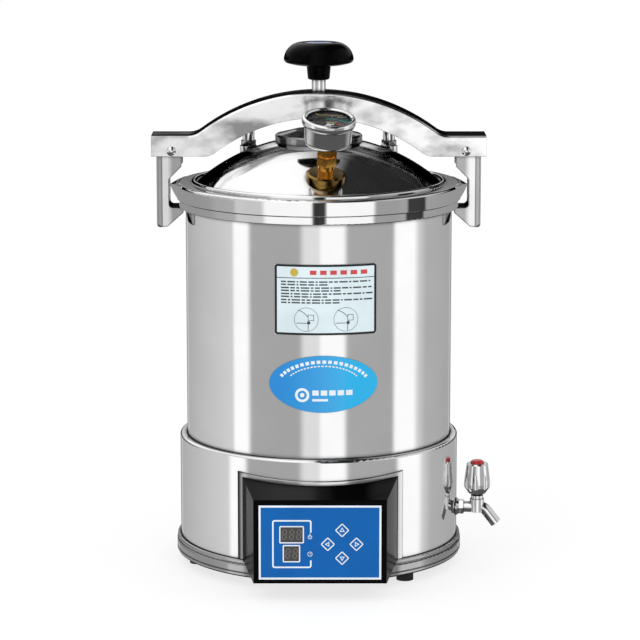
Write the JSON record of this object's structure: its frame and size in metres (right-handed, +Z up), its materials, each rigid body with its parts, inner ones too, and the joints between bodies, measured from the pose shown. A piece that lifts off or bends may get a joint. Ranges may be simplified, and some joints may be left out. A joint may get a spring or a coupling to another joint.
{
  "type": "benchtop autoclave",
  "caption": "Portable steam sterilizer pot on a heated base, closed by a lid with an arched clamping beam, hooks and a hand screw.",
  "frame": {"origin": "on the pot's vertical axis, at the plane the feet stand on", "axes": "+Z up along the pot's axis, -Y towards the control box at the front, +X towards the drain tap"},
  "size_m": [0.3936, 0.3597, 0.5912],
  "materials": {
    "polished_steel": "mirror-polished stainless steel",
    "brushed_steel": "satin stainless steel",
    "zinc_steel": "zinc plated",
    "chrome": "bright chrome plate",
    "brass": "polished yellow brass",
    "copper_pipe": "drawn copper alloy",
    "black_rubber": "moulded matt rubber",
    "silicone_rubber": "translucent white silicone",
    "mineral_wool": "felted mineral wool",
    "black_plastic": "glossy moulded black",
    "red_plastic": "glossy red",
    "blue_insert": "glossy blue",
    "blue_panel": "printed polyester overlay",
    "key_membrane": "embossed membrane",
    "display_black": "smoked filter",
    "board_green": "solder mask",
    "dial_face": "printed dial",
    "pointer_white": "white enamel",
    "gauge_glass": "clear glass",
    "label_film": "printed film",
    "badge_blue": "printed film"
  },
  "bodies": {
    "pot": {"base_shell": "polished_steel", "base_trim_ring": "polished_steel", "bottom_plate": "brushed_steel", "rubber_feet": "black_rubber", "foot_fasteners": "zinc_steel", "control_housing": "black_plastic", "control_frame": "polished_steel", "control_panel": "blue_panel", "led_displays": "display_black", "circuit_board": "board_green", "chamber": "brushed_steel", "pot_flange": "polished_steel", "outer_jacket": "polished_steel", "insulation": "mineral_wool", "jacket_support_ring": "brushed_steel", "lid_gasket": "silicone_rubber", "heating_element": "brushed_steel", "basket_shelf": "brushed_steel", "basket": "brushed_steel", "basket_handle": "brushed_steel", "temperature_probe": "brushed_steel", "power_inlet": "black_plastic", "tap_rose": "chrome", "tap_body": "chrome", "tap_back_nut": "brass", "drain_pipe": "copper_pipe", "lid": "polished_steel", "lid_boss": "polished_steel", "screw_retainer": "polished_steel", "gauge_base": "brass", "gauge_stem": "brass", "gauge_case": "chrome", "gauge_bezel": "chrome", "gauge_dial": "dial_face", "gauge_glass": "gauge_glass", "valve_seats": "chrome", "safety_valve_body": "chrome", "safety_valve_spring": "chrome", "safety_valve_cap": "chrome", "vent_valve_body": "chrome", "instruction_plate": "label_film", "oval_badge": "badge_blue"},
    "gauge_pointer": {"gauge_pointer": "pointer_white"},
    "beam": {"beam": "polished_steel", "beam_nut": "chrome", "hook_pins": "chrome"},
    "left_hook": {"hook_left": "polished_steel"},
    "right_hook": {"hook_right": "polished_steel"},
    "clamp_screw": {"clamp_screw": "chrome", "knob": "black_plastic", "knob_insert": "blue_insert"},
    "tap_handle": {"tap_spindle": "chrome", "tap_handle": "chrome", "tap_index_cap": "red_plastic"},
    "safety_valve_plunger": {"safety_valve_plunger": "chrome"},
    "vent_valve_lever": {"vent_valve_lever": "chrome"},
    "key_top": {"key_top": "key_membrane"},
    "key_bottom": {"key_bottom": "key_membrane"},
    "key_left": {"key_left": "key_membrane"},
    "key_right": {"key_right": "key_membrane"}
  },
  "joints": [
    {"name": "screw_turn", "type": "hinge", "parent": "pot", "child": "clamp_screw", "pos_m": [0, 0, 0.54], "axis": [0, 0, 1], "range_deg": [0, 540]},
    {"name": "beam_travel", "type": "slide", "parent": "pot", "child": "beam", "axis": [0, 0, 1], "range_m": [-0.0045, 0]},
    {"name": "left_hook_swing", "type": "hinge", "parent": "beam", "child": "left_hook", "pos_m": [-0.1645, 0, 0.471], "axis": [0, 1, 0], "range_deg": [0, 30]},
    {"name": "right_hook_swing", "type": "hinge", "parent": "beam", "child": "right_hook", "pos_m": [0.1645, 0, 0.471], "axis": [0, -1, 0], "range_deg": [0, 30]},
    {"name": "tap_turn", "type": "hinge", "parent": "pot", "child": "tap_handle", "pos_m": [0.18023, -0.02533, 0.08], "axis": [0, 0, 1], "range_deg": [0, 360]},
    {"name": "gauge_needle_turn", "type": "hinge", "parent": "pot", "child": "gauge_pointer", "pos_m": [0.01064, -0.12752, 0.5107], "axis": [0.0523, -0.2753, 0.9599], "range_deg": [-250, 0]},
    {"name": "safety_valve_lift", "type": "slide", "parent": "pot", "child": "safety_valve_plunger", "axis": [0, 0, 1], "range_m": [0, 0.003]},
    {"name": "vent_lever_turn", "type": "hinge", "parent": "pot", "child": "vent_valve_lever", "pos_m": [0.08, 0.05, 0.48], "axis": [0, 0, 1], "range_deg": [0, 90]},
    {"name": "key_top_press", "type": "slide", "parent": "pot", "child": "key_top", "axis": [0, 1, 0], "range_m": [0, 0.0005]},
    {"name": "key_bottom_press", "type": "slide", "parent": "pot", "child": "key_bottom", "axis": [0, 1, 0], "range_m": [0, 0.0005]},
    {"name": "key_left_press", "type": "slide", "parent": "pot", "child": "key_left", "axis": [0, 1, 0], "range_m": [0, 0.0005]},
    {"name": "key_right_press", "type": "slide", "parent": "pot", "child": "key_right", "axis": [0, 1, 0], "range_m": [0, 0.0005]}
  ],
  "couplings": [
    {"joint": "screw_turn", "follows": "beam_travel", "rad_per_m": -2094.4}
  ]
}
